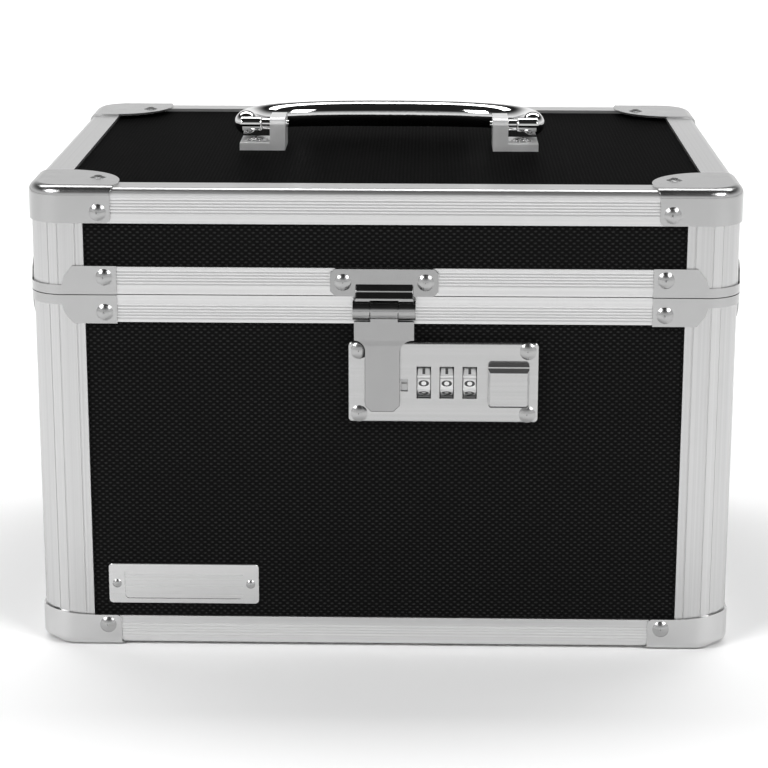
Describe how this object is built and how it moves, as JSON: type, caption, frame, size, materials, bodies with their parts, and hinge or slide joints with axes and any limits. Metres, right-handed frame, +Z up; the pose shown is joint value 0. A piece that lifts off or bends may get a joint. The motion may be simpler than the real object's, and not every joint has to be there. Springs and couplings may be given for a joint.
{
  "type": "cash box",
  "caption": "Rectangular cash box with black panels in an aluminium frame, a hinged lid, folding handle, riveted corner caps and a hasp with a number lock.",
  "frame": {"origin": "centre of the footprint over all protrusions, on the plane the bottom corner caps stand on", "axes": "+X to the right seen from the front, +Y from the front to the hinges at the back, +Z up"},
  "size_m": [0.254, 0.201, 0.1824],
  "materials": {
    "panel_black": "matt black embossed skin on fibreboard",
    "lining_grey": "short felt",
    "frame_aluminium": "satin extruded with fine ribs",
    "corner_steel": "nickel plated",
    "rivet_steel": "polished",
    "hardware_nickel": "nickel plated",
    "lock_satin": "satin nickel",
    "lock_inner_steel": "zinc plated",
    "dial_metal": "polished",
    "handle_chrome": "mirror polished",
    "tray_plastic": "moulded black"
  },
  "bodies": {
    "base": {"base_front_panel": "panel_black", "base_right_panel": "panel_black", "base_back_panel": "panel_black", "base_left_panel": "panel_black", "base_floor": "panel_black", "base_lining": "lining_grey", "base_corner_posts": "frame_aluminium", "base_bottom_rails": "frame_aluminium", "base_rim_rails": "frame_aluminium", "base_bottom_caps": "corner_steel", "base_rim_corners": "corner_steel", "base_rivets": "rivet_steel", "hinge_base_leaves": "hardware_nickel", "hinge_base_rivets": "rivet_steel", "hinge_pins": "hardware_nickel", "tray_supports": "hardware_nickel", "lock_faceplate": "lock_satin", "lock_case": "lock_inner_steel", "lock_rivets": "rivet_steel", "dial_shaft": "lock_inner_steel", "detent_spring": "lock_inner_steel", "name_plate": "lock_satin", "name_plate_pins": "rivet_steel"},
    "lid": {"lid_front_panel": "panel_black", "lid_right_panel": "panel_black", "lid_back_panel": "panel_black", "lid_left_panel": "panel_black", "lid_top_panel": "panel_black", "lid_lining": "lining_grey", "lid_corner_posts": "frame_aluminium", "lid_top_rails": "frame_aluminium", "lid_rim_rails": "frame_aluminium", "lid_top_caps": "corner_steel", "lid_rim_corners": "corner_steel", "lid_rivets": "rivet_steel", "hinge_lid_leaves": "hardware_nickel", "hinge_lid_rivets": "rivet_steel", "hasp_bracket": "hardware_nickel", "hasp_bracket_rivets": "rivet_steel", "hasp_pin": "hardware_nickel", "handle_bracket_left": "handle_chrome", "handle_bracket_right": "handle_chrome", "handle_screws": "handle_chrome", "handle_nuts": "handle_chrome"},
    "hasp": {"hasp_leaf": "hardware_nickel", "hasp_ear": "hardware_nickel"},
    "handle": {"handle_grip": "handle_chrome", "handle_pivot_pins": "handle_chrome"},
    "dial_left": {"dial_left": "dial_metal"},
    "dial_middle": {"dial_middle": "dial_metal"},
    "dial_right": {"dial_right": "dial_metal"},
    "release": {"release_button": "lock_satin", "release_slide": "lock_inner_steel"},
    "reset": {"reset_lever": "lock_inner_steel"},
    "tray": {"cash_tray": "tray_plastic", "tray_dividers": "tray_plastic"}
  },
  "joints": [
    {"name": "lid_hinge", "type": "hinge", "parent": "base", "child": "lid", "pos_m": [0, 0.0979, 0.1321], "axis": [-1, 0, 0], "range_deg": [0, 95]},
    {"name": "handle_pivot", "type": "hinge", "parent": "lid", "child": "handle", "pos_m": [0, -0.0011, 0.1778], "axis": [1, 0, 0], "range_deg": [0, 185]},
    {"name": "hasp_pivot", "type": "hinge", "parent": "lid", "child": "hasp", "pos_m": [0, -0.0971, 0.128], "axis": [-1, 0, 0], "range_deg": [0, 110]},
    {"name": "dial_left_turn", "type": "hinge", "parent": "base", "child": "dial_left", "pos_m": [0.014, -0.0894, 0.1013], "axis": [1, 0, 0], "continuous": true},
    {"name": "dial_middle_turn", "type": "hinge", "parent": "base", "child": "dial_middle", "pos_m": [0.0221, -0.0894, 0.1013], "axis": [1, 0, 0], "continuous": true},
    {"name": "dial_right_turn", "type": "hinge", "parent": "base", "child": "dial_right", "pos_m": [0.0302, -0.0894, 0.1013], "axis": [1, 0, 0], "continuous": true},
    {"name": "release_press", "type": "slide", "parent": "base", "child": "release", "axis": [1, 0, 0], "range_m": [0, 0.0025], "stiffness_N_per_m": 300, "springref_m": -0.001},
    {"name": "reset_shift", "type": "slide", "parent": "base", "child": "reset", "axis": [0, 0, 1], "range_m": [0, 0.0018]},
    {"name": "tray_lift", "type": "slide", "parent": "base", "child": "tray", "axis": [0, 0, 1], "range_m": [0, 0.028]}
  ]
}
